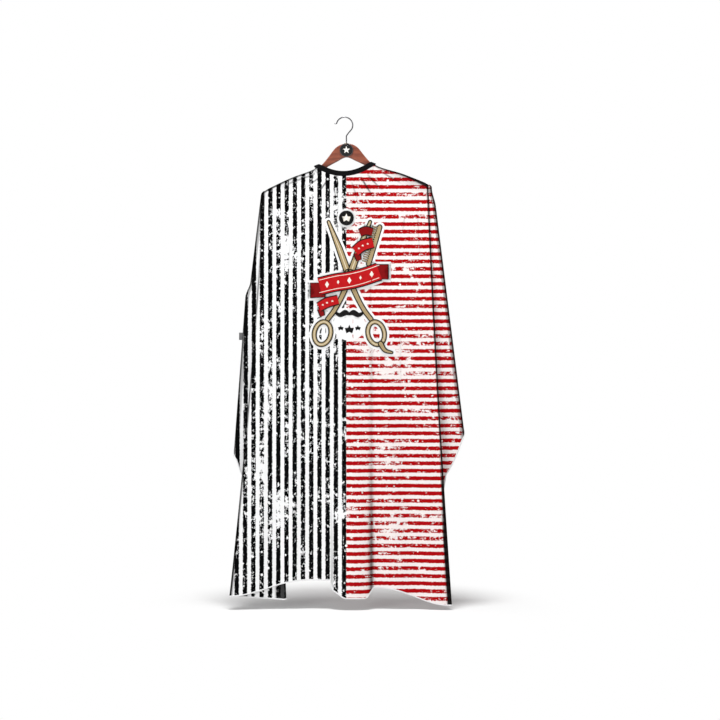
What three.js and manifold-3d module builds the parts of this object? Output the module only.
// Barber cape hanging on a wooden hanger with a swivelling hook.
// Millimetres, +Z up, the front faces -Y and +X is to the right of the front view.
// The origin is the point where a rail bears under the hook's arch, over the shank.
import * as THREE from 'three';
import { mergeVertices } from 'three/addons/utils/BufferGeometryUtils.js';
import Module from 'manifold-3d';

const wasm = await Module();
wasm.setup();

// ---------------------------------------------------------------- clearances
const GAP = 0.3;
const RUNNING = 0.3;

// ---------------------------------------------------------------- hook
const WIRE_R = 1.7;
const ARCH_R = 22;
const ARCH_X = -5;
const ARCH_START = THREE.MathUtils.degToRad(166);
const ARCH_END = THREE.MathUtils.degToRad(-28);
const TIP_FLARE = 5;
const SHANK_TOP = -50;

// ---------------------------------------------------------------- hanger
const HANGER_T = 14;
const HANGER_BEVEL = 2.5;
const HANGER_ROLL = Math.tan(THREE.MathUtils.degToRad(2.3));
const ARM_TIP = 219;
const ARM_ROUND = 9;
const ARM_TIP_TOP = -190;
const ARM_TIP_UNDER = -206;
const HUMP_TOP = -70.5;
const HUMP_UNDER = -107;
const TOP_LINE = [[0, HUMP_TOP], [15, -72.5], [31, -82.5], [48, -104], [66, -124.5], [88, -139.5],
  [150, -160.5], [ARM_TIP, ARM_TIP_TOP]];
const UNDER_LINE = [[0, HUMP_UNDER], [26, -118], [58, -134.5], [90, -153.5], [150, -176.5],
  [ARM_TIP, ARM_TIP_UNDER]];

// ---------------------------------------------------------------- swivel fittings
const FERRULE_R = 4.4;
const FERRULE_FLANGE_R = 5.4;
const FERRULE_FLANGE_T = 1.2;
const FERRULE_DEPTH = 7;
const RECESS_R = 5;
const RECESS_DEPTH = 11;
const WASHER_R = 4.5;
const WASHER_T = 1;
const NUT_R = 3.8;
const NUT_T = 3;

// ---------------------------------------------------------------- badge
const BADGE_Z = -88;
const BADGE_R = 16.2;
const BADGE_T = 1.6;
const BEZEL_W = 1.5;
const BEZEL_T = 2.4;
const MOTIF_T = 0.8;

// ---------------------------------------------------------------- cloth
const CLOTH = 1.0;
const RISE = 3.6;
const RIDGE_HALF = HANGER_T / 2 + 2.4;
const RIDGE_DROP = 5;
const TIP_Z = ARM_TIP_TOP - 4;
const TIP_X = ARM_TIP + 2;
const TIP_ROUND = 22;
const SPREAD = 0.03;
const BACK_SPREAD = 0.024;
const LANE = HANGER_T / 2 + 1.2;
const SIDE_LANE_X = TIP_X + 5;
const PLEAT_START = -340;
const PLEAT_LEFT = 150;
const PLEAT_RIGHT = 70;
const FRONT_HEM = -1238;
const PLEAT_HEM = FRONT_HEM - 52;
const HEM_CORNER_LEFT = 42;
const HEM_STEP = 25;
const HEM_CORNER_RIGHT = 46;
const HEM_BULGE = 28;
const SETTLE = 130;
const WING_CORNER_LEFT = -898;
const WING_CORNER_RIGHT = -845;
const WING_END = -962;
const BACK_HEM = -610;
const SLIT_HALF = 4;
const EDGE_H = 3;
const EDGE_T = 2;
const WING_HEM_GAP = 4.4;

// ---------------------------------------------------------------- neckband
const BAND_A = 77;
const BAND_B = 19;
const BAND_X = -4;
const BAND_Z = -152.5;
const BAND_LIFT = 27.5;
const BAND_W = 13;
const BAND_T = 1.6;
const BAND_SQUARE = 0.55;
const TAB_L = 46;
const TAB_T = 1.8;
const TAB_OFFSET = 4.2;
const SNAP_R = 5.5;
const SNAP_CLEAR = 0.6;
const SNAP_PITCH = 17;
const STUD_R = 2.6;
const HINGE_X = -12;

// ---------------------------------------------------------------- side loop
const LOOP_Z = -590;
const LOOP_H = 20;
const LOOP_L = 13;
const LOOP_T = 0.8;
const LOOP_W = 3.2;

// ---------------------------------------------------------------- materials
const paint = (hex, roughness, metalness = 0) =>
  new THREE.MeshStandardMaterial({ color: hex, roughness, metalness });
const STEEL = paint(0x5b5b5e, 0.3, 1);
const WOOD = paint(0x8a3a24, 0.4);
const BRASS = paint(0xb08a46, 0.35, 1);
const BLACK = paint(0x141414, 0.6);
const CREAM = paint(0xeeeae0, 0.5);
const PRINT_BLACK = paint(0xd8d8d6, 0.8);
const PRINT_RED = paint(0xd9a09a, 0.8);
const EDGE_WHITE = paint(0xf4f4f2, 0.85);

const cape = new THREE.Group();
function addPart(name, geometry, material) {
  const mesh = new THREE.Mesh(geometry, material);
  mesh.name = name;
  cape.add(mesh);
  return mesh;
}

// ---------------------------------------------------------------- solids
function bare(geometry) {
  const copy = geometry.clone();
  copy.deleteAttribute('normal');
  copy.deleteAttribute('uv');
  return mergeVertices(copy, 1e-4);
}

function toManifold(geometry) {
  const merged = bare(geometry);
  return new wasm.Manifold(new wasm.Mesh({
    numProp: 3,
    vertProperties: Float32Array.from(merged.attributes.position.array),
    triVerts: Uint32Array.from(merged.index.array),
  }));
}

function fromManifold(solid) {
  const mesh = solid.getMesh();
  const geometry = new THREE.BufferGeometry();
  geometry.setAttribute('position', new THREE.BufferAttribute(mesh.vertProperties, 3));
  geometry.setIndex(Array.from(mesh.triVerts));
  return geometry;
}

function cut(geometry, ...tools) {
  let solid = toManifold(geometry);
  for (const tool of tools) {
    solid = solid.subtract(toManifold(tool));
  }
  return fromManifold(solid);
}

// A cylinder along Z, from its bottom to its top.
function post(radius, bottom, top, segments = 24) {
  const geometry = new THREE.CylinderGeometry(radius, radius, top - bottom, segments);
  geometry.rotateX(Math.PI / 2);
  geometry.translate(0, 0, (bottom + top) / 2);
  return geometry;
}

// A ring around Z, lathed from a closed profile of [radius, height] pairs.
function ring(profile, segments = 24) {
  const points = [...profile, profile[0]].map(([r, h]) => new THREE.Vector2(r, h));
  const geometry = new THREE.LatheGeometry(points, segments);
  geometry.rotateX(Math.PI / 2);
  return geometry;
}

// A closed solid of even thickness about a grid of points, grid[row][column].
function sheetSolid(grid, thickness) {
  const rows = grid.length;
  const columns = grid[0].length;
  const clamp = (value, top) => Math.min(Math.max(value, 0), top);
  const at = (r, c) => grid[clamp(r, rows - 1)][clamp(c, columns - 1)];
  const across = new THREE.Vector3();
  const down = new THREE.Vector3();
  const positions = [];
  for (const side of [0.5, -0.5]) {
    for (let r = 0; r < rows; r += 1) {
      for (let c = 0; c < columns; c += 1) {
        across.subVectors(at(r, c + 1), at(r, c - 1));
        down.subVectors(at(r + 1, c), at(r - 1, c));
        const normal = across.cross(down).normalize();
        positions.push(...at(r, c).clone().addScaledVector(normal, side * thickness));
      }
    }
  }
  const id = (side, r, c) => side * rows * columns + r * columns + c;
  const index = [];
  const quad = (a, b, c, d) => index.push(a, b, c, a, c, d);
  for (let r = 0; r + 1 < rows; r += 1) {
    for (let c = 0; c + 1 < columns; c += 1) {
      quad(id(0, r, c), id(0, r, c + 1), id(0, r + 1, c + 1), id(0, r + 1, c));
      quad(id(1, r, c), id(1, r + 1, c), id(1, r + 1, c + 1), id(1, r, c + 1));
    }
    quad(id(0, r, 0), id(0, r + 1, 0), id(1, r + 1, 0), id(1, r, 0));
    quad(id(0, r, columns - 1), id(1, r, columns - 1), id(1, r + 1, columns - 1),
      id(0, r + 1, columns - 1));
  }
  for (let c = 0; c + 1 < columns; c += 1) {
    quad(id(0, 0, c), id(1, 0, c), id(1, 0, c + 1), id(0, 0, c + 1));
    quad(id(0, rows - 1, c), id(0, rows - 1, c + 1), id(1, rows - 1, c + 1), id(1, rows - 1, c));
  }
  return facingOut(positions, index);
}

// Turns every triangle over when the enclosed volume comes out negative.
function facingOut(positions, index) {
  const corner = (i) => new THREE.Vector3().fromArray(positions, index[i] * 3);
  let volume = 0;
  for (let i = 0; i < index.length; i += 3) {
    volume += corner(i).dot(corner(i + 1).cross(corner(i + 2)));
  }
  const order = volume < 0 ? index.slice().reverse() : index;
  const geometry = new THREE.BufferGeometry();
  geometry.setAttribute('position', new THREE.Float32BufferAttribute(positions, 3));
  geometry.setIndex(order);
  return geometry;
}

// ---------------------------------------------------------------- shared lines
const { lerp, smoothstep, clamp } = THREE.MathUtils;

// Height on a smooth line through [x, z] points, mirrored about x = 0.
function lineHeight(points, x) {
  const reach = Math.min(Math.abs(x), points[points.length - 1][0]);
  let i = 0;
  while (i + 2 < points.length && points[i + 1][0] < reach) {
    i += 1;
  }
  const before = points[Math.max(i - 1, 0)];
  const after = points[Math.min(i + 2, points.length - 1)];
  const [x0, z0] = points[i];
  const [x1, z1] = points[i + 1];
  const step = x1 - x0;
  const m0 = i === 0 ? 0 : ((z1 - before[1]) / (x1 - before[0])) * step;
  const m1 = ((after[1] - z0) / (after[0] - x0)) * step;
  const t = (reach - x0) / step;
  return (2 * t ** 3 - 3 * t ** 2 + 1) * z0 + (t ** 3 - 2 * t ** 2 + t) * m0
    + (3 * t ** 2 - 2 * t ** 3) * z1 + (t ** 3 - t ** 2) * m1;
}
const woodTop = (x) => lineHeight(TOP_LINE, x) + x * HANGER_ROLL;
const woodUnder = (x) => lineHeight(UNDER_LINE, x) + x * HANGER_ROLL;

// The cloth's ridge over the arms, rounding off past the arm's end.
function ridge(x) {
  const past = clamp((Math.abs(x) - TIP_X + TIP_ROUND * 0.7) / TIP_ROUND, 0, 1);
  return woodTop(x) + RISE - TIP_ROUND * 0.4 * (1 - Math.sqrt(1 - past * past));
}
const fall = (z) => Math.max(0, TIP_Z - z);

// Where the front panel's folded sides and the wings' edges stand at a height.
const frontLeft = (z) => -(TIP_X + 0.06 * fall(z) + 0.000022 * fall(z) ** 2);
const frontRight = (z) => TIP_X - 2 + 0.045 * fall(z) + 0.00001 * fall(z) ** 2;
const wingLeft = (z) => -(TIP_X + 10 + 0.125 * fall(z) - 0.00003 * fall(z) ** 2);
const wingRight = (z) => TIP_X + 13 + 0.13 * fall(z);

// How far forward the front hangs, and how far back the back hangs.
const frontDepth = (z) => -(RIDGE_HALF + SPREAD * fall(z));
const backDepth = (z) => RIDGE_HALF + BACK_SPREAD * fall(z);
const pleatDepth = (z) => (frontDepth(z) - LANE) / 2;
const pleatShare = (z) => clamp((PLEAT_START - z) / (PLEAT_START - PLEAT_HEM), 0, 1);
const pleatLeft = (z) => frontLeft(z) + PLEAT_LEFT * pleatShare(z);
const pleatRight = (z) => frontRight(z) - PLEAT_RIGHT * pleatShare(z);

// The front hem: it sags towards the right and under the centre bulge.
function frontHem(x) {
  const toLeft = HEM_CORNER_LEFT * smoothstep(-x, 110, 310);
  const step = HEM_STEP * smoothstep(x, -46, -34);
  const toRight = HEM_CORNER_RIGHT * smoothstep(x, 90, 270);
  const bulge = HEM_BULGE * smoothstep(x, -38, 14) * (1 - smoothstep(x, 46, 80));
  return FRONT_HEM - toLeft - step - toRight - bulge;
}

// ---------------------------------------------------------------- hook
// Arch by a formula, then a bend back onto the shank's axis.
class HookCurve extends THREE.Curve {
  constructor() {
    super();
    const middle = new THREE.Vector3(ARCH_X, 0, WIRE_R - ARCH_R);
    const onArch = (angle) => new THREE.Vector3(Math.cos(angle), 0, Math.sin(angle))
      .multiplyScalar(ARCH_R).add(middle);
    const points = [];
    const tip = onArch(ARCH_START);
    points.push(tip.clone().add(new THREE.Vector3(-TIP_FLARE, 0, -TIP_FLARE * 0.2)));
    const steps = 14;
    for (let i = 0; i <= steps; i += 1) {
      points.push(onArch(lerp(ARCH_START, ARCH_END, i / steps)));
    }
    points.push(new THREE.Vector3(5, 0, SHANK_TOP + 8));
    points.push(new THREE.Vector3(0, 0, SHANK_TOP));
    const end = HUMP_UNDER + RECESS_DEPTH - WASHER_T - NUT_T - 3 * GAP;
    for (const share of [0.1, 0.5, 1]) {
      points.push(new THREE.Vector3(0, 0, lerp(SHANK_TOP, end, share)));
    }
    this.path = new THREE.CatmullRomCurve3(points, false, 'centripetal');
  }

  getPoint(t, target = new THREE.Vector3()) {
    return this.path.getPoint(t, target);
  }
}

function hookWire() {
  const section = new THREE.Shape();
  section.absarc(0, 0, WIRE_R, 0, Math.PI * 2);
  return new THREE.ExtrudeGeometry(section, {
    extrudePath: new HookCurve(), steps: 60, curveSegments: 5, bevelEnabled: false,
  });
}
addPart('hook_wire', hookWire(), STEEL);

const recessTop = HUMP_UNDER + RECESS_DEPTH;
const washerTop = recessTop - GAP;
const nutTop = washerTop - WASHER_T - GAP;
const boreR = WIRE_R + RUNNING;
addPart('shank_nut', ring([[boreR, nutTop - NUT_T], [NUT_R, nutTop - NUT_T], [NUT_R, nutTop],
  [boreR, nutTop]], 6), STEEL);

// ---------------------------------------------------------------- hanger
function hangerBody() {
  const outline = new THREE.Shape();
  const reach = ARM_TIP - ARM_ROUND;
  const steps = 44;
  outline.moveTo(-reach, woodTop(-reach));
  for (let i = 1; i <= steps; i += 1) {
    const x = lerp(-reach, reach, i / steps);
    outline.lineTo(x, woodTop(x));
  }
  const roundEnd = (side) => {
    const top = woodTop(side * reach);
    const under = woodUnder(side * reach);
    const middle = (top + under) / 2;
    for (const turn of [45, 0, -45]) {
      const angle = THREE.MathUtils.degToRad(side > 0 ? turn : -turn);
      const x = side * (reach + ARM_ROUND * Math.cos(angle));
      outline.lineTo(x, middle + ((top - under) / 2) * Math.sin(angle));
    }
  };
  roundEnd(1);
  for (let i = 0; i <= steps; i += 1) {
    const x = lerp(reach, -reach, i / steps);
    outline.lineTo(x, woodUnder(x));
  }
  roundEnd(-1);
  const body = new THREE.ExtrudeGeometry(outline, {
    depth: HANGER_T - 2 * HANGER_BEVEL, bevelEnabled: true, bevelSize: HANGER_BEVEL,
    bevelOffset: -HANGER_BEVEL, bevelThickness: HANGER_BEVEL, bevelSegments: 2, steps: 1,
  });
  body.translate(0, 0, -(HANGER_T / 2 - HANGER_BEVEL));
  body.rotateX(Math.PI / 2);
  const bore = post(boreR, HUMP_UNDER - 20, HUMP_TOP + 20);
  const seat = post(FERRULE_R + GAP, HUMP_TOP - FERRULE_DEPTH - GAP, HUMP_TOP + 20);
  const recess = post(RECESS_R, HUMP_UNDER - 20, recessTop);
  return cut(body, bore, seat, recess);
}
addPart('hanger_body', hangerBody(), WOOD);

const flangeUnder = HUMP_TOP + GAP;
addPart('hook_ferrule', ring([[boreR, HUMP_TOP - FERRULE_DEPTH], [FERRULE_R, HUMP_TOP - FERRULE_DEPTH],
  [FERRULE_R, flangeUnder], [FERRULE_FLANGE_R, flangeUnder],
  [FERRULE_FLANGE_R, flangeUnder + FERRULE_FLANGE_T], [boreR, flangeUnder + FERRULE_FLANGE_T]]), BRASS);
addPart('swivel_washer', ring([[boreR, washerTop - WASHER_T], [WASHER_R, washerTop - WASHER_T],
  [WASHER_R, washerTop], [boreR, washerTop]]), BRASS);

// ---------------------------------------------------------------- badge
// Each of its pieces is turned to face the front and set off the wood by a gap.
function ontoFront(geometry, depth) {
  geometry.rotateX(Math.PI / 2);
  geometry.translate(0, -(HANGER_T / 2 + GAP + depth), BADGE_Z);
  return geometry;
}
addPart('badge_disc', ontoFront(post(BADGE_R, 0, BADGE_T, 40), 0), BLACK);
const bezelIn = BADGE_R + GAP;
addPart('badge_bezel', ontoFront(ring([[bezelIn, 0], [bezelIn + BEZEL_W, 0],
  [bezelIn + BEZEL_W, BEZEL_T], [bezelIn, BEZEL_T]], 40), 0), STEEL);

function badgeMotif() {
  const star = new THREE.Shape();
  const points = 5;
  for (let i = 0; i < points * 2; i += 1) {
    const radius = BADGE_R * (i % 2 ? 0.27 : 0.62);
    const angle = Math.PI / 2 + (i * Math.PI) / points;
    const corner = [radius * Math.cos(angle), radius * Math.sin(angle)];
    if (i === 0) {
      star.moveTo(...corner);
    } else {
      star.lineTo(...corner);
    }
  }
  const raised = new THREE.ExtrudeGeometry(star, { depth: MOTIF_T, bevelEnabled: false });
  return ontoFront(raised, BADGE_T + GAP);
}
addPart('badge_motif', badgeMotif(), CREAM);

// ---------------------------------------------------------------- neckband
// A loop, wide in X and narrow in Y, that rests on both arms and sags between.
// Its angle runs from the right crest over the front to the left crest and on.
function bandPoint(angle, offset, lift = 0) {
  const x = BAND_X + BAND_A * Math.cos(angle);
  const z = BAND_Z + BAND_LIFT * Math.cos(angle) ** 2 + x * HANGER_ROLL;
  const slope = Math.cos(angle) * Math.abs(Math.cos(angle));
  const outward = new THREE.Vector3(slope, 0, -Math.sqrt(1 - 0.86 * slope * slope)).normalize();
  const away = new THREE.Vector3(0, -Math.sin(angle), Math.abs(Math.cos(angle))).normalize();
  const depth = BAND_B * Math.sign(Math.sin(angle)) * Math.abs(Math.sin(angle)) ** BAND_SQUARE;
  return new THREE.Vector3(x, -depth, z)
    .addScaledVector(outward, offset).addScaledVector(away, lift);
}

function bandStrip(from, to, steps, width, lift = 0) {
  return [-0.5, 0.5].map((share) => {
    const row = [];
    for (let i = 0; i <= steps; i += 1) {
      row.push(bandPoint(lerp(from, to, i / steps), share * width, lift));
    }
    return row;
  });
}
const angleAt = (x) => Math.acos((x - BAND_X) / BAND_A);
const crestGap = 0.006;
const hingeAngle = 2 * Math.PI - angleAt(HINGE_X);
addPart('neckband_front', sheetSolid(bandStrip(crestGap, Math.PI - crestGap, 32, BAND_W), BAND_T), BLACK);
addPart('neckband_back_left', sheetSolid(bandStrip(Math.PI + crestGap, hingeAngle, 14, BAND_W), BAND_T),
  BLACK);
addPart('neckband_back_right', sheetSolid(bandStrip(hingeAngle + 2 * crestGap, 2 * Math.PI - crestGap,
  18, BAND_W), BAND_T), BLACK);

// The tab is hinged on the left end of the back of the band and laps the right end.
const tabEnd = 2 * Math.PI - angleAt(HINGE_X + TAB_L);
addPart('closure_tab', sheetSolid(bandStrip(hingeAngle, tabEnd, 14, BAND_W, TAB_OFFSET), TAB_T), BLACK);

// Snap pieces stand square on the band: a ring of [radius, height] about its normal.
function snapPiece(x, profile, segments = 20) {
  const angle = 2 * Math.PI - angleAt(x);
  const place = bandPoint(angle, 0);
  const along = bandPoint(angle + 0.01, 0).sub(bandPoint(angle - 0.01, 0)).normalize();
  const across = bandPoint(angle, 1).sub(place).normalize();
  const normal = new THREE.Vector3().crossVectors(along, across).normalize();
  if (normal.y < 0) {
    normal.negate();
  }
  const turn = new THREE.Quaternion().setFromUnitVectors(new THREE.Vector3(0, 0, 1), normal);
  return ring(profile, segments).applyQuaternion(turn).translate(place.x, place.y, place.z);
}
const disc = (radius, bottom, top) => [[0, bottom], [radius, bottom], [radius, top], [0, top]];
const snapXs = [HINGE_X + TAB_L - SNAP_R - 4 - SNAP_PITCH, HINGE_X + TAB_L - SNAP_R - 4];
const bandFace = BAND_T / 2 + GAP;
const tabIn = TAB_OFFSET - TAB_T / 2 - SNAP_CLEAR;
const tabOut = TAB_OFFSET + TAB_T / 2 + SNAP_CLEAR;
const studTop = tabIn - GAP;
const socketLow = bandFace + 0.6 + GAP;
snapXs.forEach((x, i) => {
  const name = ['inner', 'outer'][i];
  addPart(`stud_${name}`, snapPiece(x, [[0, bandFace], [SNAP_R - 1, bandFace], [SNAP_R - 1, bandFace + 0.6],
    [STUD_R, bandFace + 0.6], [STUD_R, studTop], [0, studTop]]), STEEL);
  addPart(`stud_post_${name}`, snapPiece(x, disc(SNAP_R, -bandFace - 1, -bandFace)), STEEL);
});
const socketX = snapXs[1];
addPart('tab_socket', snapPiece(socketX, [[STUD_R + 0.4, socketLow], [SNAP_R - 0.6, socketLow],
  [SNAP_R - 0.6, tabIn], [STUD_R + 0.4, tabIn]]), STEEL);
addPart('tab_cap', snapPiece(socketX, [[0, tabOut], [SNAP_R, tabOut], [SNAP_R, tabOut + 0.7],
  [SNAP_R * 0.6, tabOut + 1.4], [0, tabOut + 1.6]]), BLACK);

// ---------------------------------------------------------------- cloth panels
// The upper edge of a panel: along the band, or along the ridge beside it.
function upperEdge(x, side) {
  const crestLeft = BAND_X - BAND_A;
  const crestRight = BAND_X + BAND_A;
  const reach = BAND_W / 2 + GAP * 3;
  const bandLeft = bandPoint(Math.PI, reach).x;
  const bandRight = bandPoint(0, reach).x;
  if (x > bandLeft && x < bandRight) {
    const share = (x - bandLeft) / (bandRight - bandLeft);
    const angle = Math.acos(clamp((lerp(crestLeft, crestRight, share) - BAND_X) / BAND_A, -1, 1));
    const point = bandPoint(side < 0 ? angle : -angle, reach);
    return new THREE.Vector3(x, side * Math.max(Math.abs(point.y), GAP + CLOTH / 2), point.z);
  }
  return new THREE.Vector3(x, side * (GAP + CLOTH / 2), ridge(x));
}

// A panel that falls from the band and the ridge to a hem, between two edges.
function hangingPanel({ side, left, right, depth, hem, columns, rows }) {
  const bendRows = 3;
  const grid = Array.from({ length: bendRows + rows + 1 }, () => []);
  for (let c = 0; c <= columns; c += 1) {
    const share = c / columns;
    const top = upperEdge(lerp(left(TIP_Z), right(TIP_Z), share), side);
    const flat = side * Math.max(Math.abs(depth(top.z)), Math.abs(top.y) + 0.5);
    const drop = RIDGE_DROP * Math.max(0.25, 1 - Math.abs(top.y / flat));
    for (let r = 0; r < bendRows; r += 1) {
      const bend = ((r / bendRows) * Math.PI) / 2;
      grid[r].push(new THREE.Vector3(top.x, lerp(top.y, flat, Math.sin(bend)),
        top.z - drop * (1 - Math.cos(bend))));
    }
    const start = top.z - drop;
    const end = hem(lerp(left(BACK_HEM), right(BACK_HEM), share));
    for (let r = 0; r <= rows; r += 1) {
      const z = lerp(start, end, (r / rows) ** 1.25);
      const x = lerp(left(z), right(z), share);
      const settle = smoothstep(start - z, 0, SETTLE);
      grid[bendRows + r].push(new THREE.Vector3(x, lerp(flat, depth(z), settle), z));
    }
  }
  return grid;
}

// The overlocked edge that runs on below the last row of a grid.
function hemStrip(grid, gap = 2 * GAP) {
  const last = grid[grid.length - 1];
  return [gap, gap + EDGE_H].map((below) => last.map((p) => new THREE.Vector3(p.x, p.y, p.z - below)));
}

const frontGrid = hangingPanel({
  side: -1, left: frontLeft, right: frontRight, depth: frontDepth, hem: frontHem, columns: 28, rows: 16,
});
addPart('front_panel', sheetSolid(frontGrid, CLOTH), PRINT_BLACK);
addPart('front_hem', sheetSolid(hemStrip(frontGrid), EDGE_T), EDGE_WHITE);

const backHemAt = (corner, edge) => (x) => lerp(BACK_HEM, corner, smoothstep(Math.abs(x), 60, Math.abs(edge)));
const backLeftGrid = hangingPanel({
  side: 1, left: (z) => Math.max(wingLeft(z), -SIDE_LANE_X), right: () => -SLIT_HALF, depth: backDepth,
  hem: backHemAt(WING_CORNER_LEFT, SIDE_LANE_X), columns: 22, rows: 7,
});
const backRightGrid = hangingPanel({
  side: 1, left: () => SLIT_HALF, right: (z) => Math.min(wingRight(z), SIDE_LANE_X), depth: backDepth,
  hem: backHemAt(WING_CORNER_RIGHT, SIDE_LANE_X), columns: 22, rows: 7,
});
addPart('back_panel_left', sheetSolid(backLeftGrid, CLOTH), PRINT_BLACK);
addPart('back_panel_right', sheetSolid(backRightGrid, CLOTH), PRINT_RED);
addPart('back_hem_left', sheetSolid(hemStrip(backLeftGrid), EDGE_T), EDGE_WHITE);
addPart('back_hem_right', sheetSolid(hemStrip(backRightGrid), EDGE_T), EDGE_WHITE);

// ---------------------------------------------------------------- folded sides
// The front panel turns in behind itself. Its hidden fold widens down to the hem.
function pleat(edge, inner, hem) {
  const rows = 12;
  const grid = [];
  for (let r = 0; r <= rows; r += 1) {
    const row = [];
    for (let c = 0; c <= 4; c += 1) {
      const z = lerp(PLEAT_START - 20, hem(c / 4), r / rows);
      row.push(new THREE.Vector3(lerp(edge(z), inner(z), c / 4), pleatDepth(z), z));
    }
    grid.push(row);
  }
  return grid;
}
const pleatLeftGrid = pleat(frontLeft, pleatLeft, (share) => PLEAT_HEM + 8 - 14 * share);
const pleatRightGrid = pleat(frontRight, pleatRight, (share) => PLEAT_HEM - 4 + 30 * share);
addPart('left_pleat', sheetSolid(pleatLeftGrid, CLOTH), PRINT_BLACK);
addPart('right_pleat', sheetSolid(pleatRightGrid, CLOTH), PRINT_RED);
addPart('left_pleat_hem', sheetSolid(hemStrip(pleatLeftGrid), EDGE_T), EDGE_WHITE);
addPart('right_pleat_hem', sheetSolid(hemStrip(pleatRightGrid), EDGE_T), EDGE_WHITE);

// ---------------------------------------------------------------- wings
// Each wing runs out of the pleat, past the arm's end to its own edge and round
// to the back panel. Columns: pleat, lane, edge, back lane.
function wing(side, edge, inner, corner) {
  const rows = 14;
  const grid = [];
  for (let r = 0; r <= rows; r += 1) {
    const row = [];
    const point = (share, z) => {
      const pleatX = side * Math.min(Math.abs(inner(z)), SIDE_LANE_X - 1);
      const laneX = side * SIDE_LANE_X;
      const stops = [[pleatX, -LANE], [laneX, -LANE], [lerp(laneX, edge(z), 0.6), -LANE * 0.7],
        [edge(z), 0], [lerp(laneX, edge(z), 0.6), LANE * 0.7], [laneX + side, backDepth(z) - 0.5]];
      return new THREE.Vector3(stops[share][0], stops[share][1], z);
    };
    const hems = [WING_END - 12, WING_END, (WING_END + corner) / 2 - 10, corner, corner + 2, corner + 4];
    for (let c = 0; c < hems.length; c += 1) {
      row.push(point(c, lerp(TIP_Z - 14, hems[c], r / rows)));
    }
    grid.push(row);
  }
  return grid;
}
const wingLeftGrid = wing(-1, wingLeft, pleatLeft, WING_CORNER_LEFT);
const wingRightGrid = wing(1, wingRight, pleatRight, WING_CORNER_RIGHT);
addPart('wing_left', sheetSolid(wingLeftGrid, CLOTH), PRINT_BLACK);
addPart('wing_right', sheetSolid(wingRightGrid, CLOTH), PRINT_RED);
addPart('wing_hem_left', sheetSolid(hemStrip(wingLeftGrid, WING_HEM_GAP), EDGE_T), EDGE_WHITE);
addPart('wing_hem_right', sheetSolid(hemStrip(wingRightGrid, WING_HEM_GAP), EDGE_T), EDGE_WHITE);

// ---------------------------------------------------------------- side loop
function sideLoop() {
  const outline = new THREE.Shape();
  const half = LOOP_W / 2;
  const inside = half - LOOP_T;
  outline.moveTo(0, half);
  outline.lineTo(half - LOOP_L, half);
  outline.absarc(half - LOOP_L, 0, half, Math.PI / 2, (3 * Math.PI) / 2);
  outline.lineTo(0, -half);
  outline.lineTo(0, -inside);
  outline.lineTo(half - LOOP_L, -inside);
  outline.absarc(half - LOOP_L, 0, inside, (3 * Math.PI) / 2, Math.PI / 2, true);
  outline.lineTo(0, inside);
  const loop = new THREE.ExtrudeGeometry(outline, { depth: LOOP_H, bevelEnabled: false, curveSegments: 6 });
  return loop.translate(wingLeft(LOOP_Z) - CLOTH / 2 - GAP, 0, LOOP_Z - LOOP_H / 2);
}
addPart('side_loop', sideLoop(), BLACK);

export default cape;
